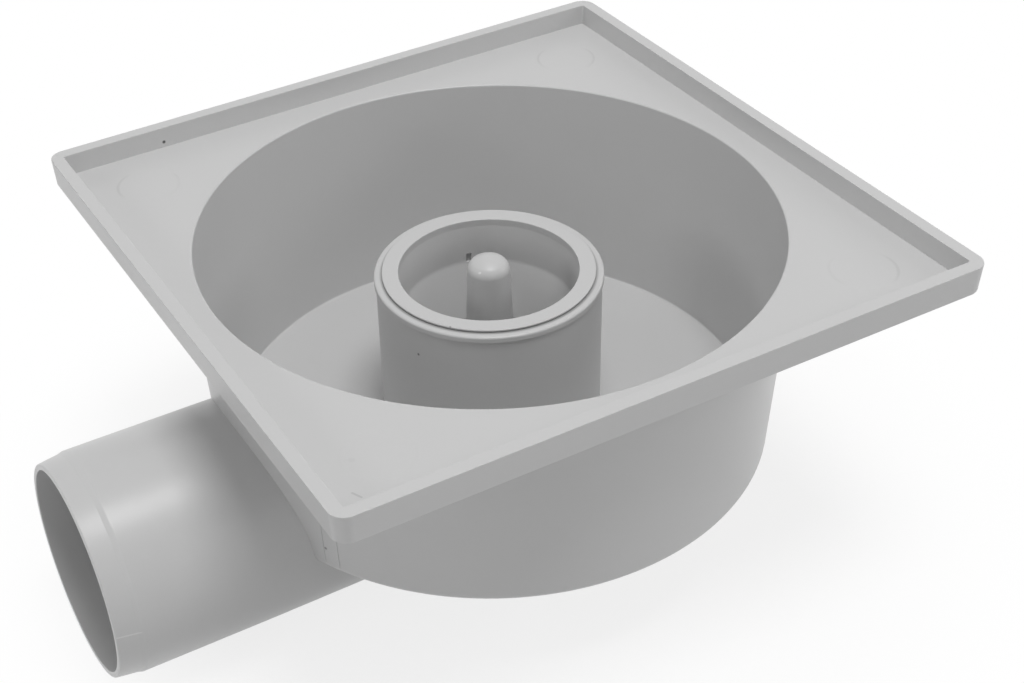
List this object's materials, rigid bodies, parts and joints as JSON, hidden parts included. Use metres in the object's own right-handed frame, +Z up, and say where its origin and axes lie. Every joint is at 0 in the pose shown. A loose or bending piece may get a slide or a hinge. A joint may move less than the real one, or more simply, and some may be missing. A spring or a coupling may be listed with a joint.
{
  "type": "floor gully trap",
  "caption": "Floor gully trap with a square grate tray, round water bowl, central standpipe with a funnel insert, and a side outlet spigot.",
  "frame": {"origin": "middle of the grate recess at the top of the tray's rim, which is the finished floor level", "axes": "+Z up out of the floor along the bowl's axis, the outlet spigot points along -X, the tray's sides are along X and Y"},
  "size_m": [0.1773, 0.148, 0.0818],
  "materials": {
    "body_plastic": "satin light grey moulded plastic",
    "insert_plastic": "satin light grey moulded plastic"
  },
  "bodies": {
    "root": {"trap_body": "body_plastic", "standpipe_insert": "insert_plastic"}
  },
  "joints": []
}
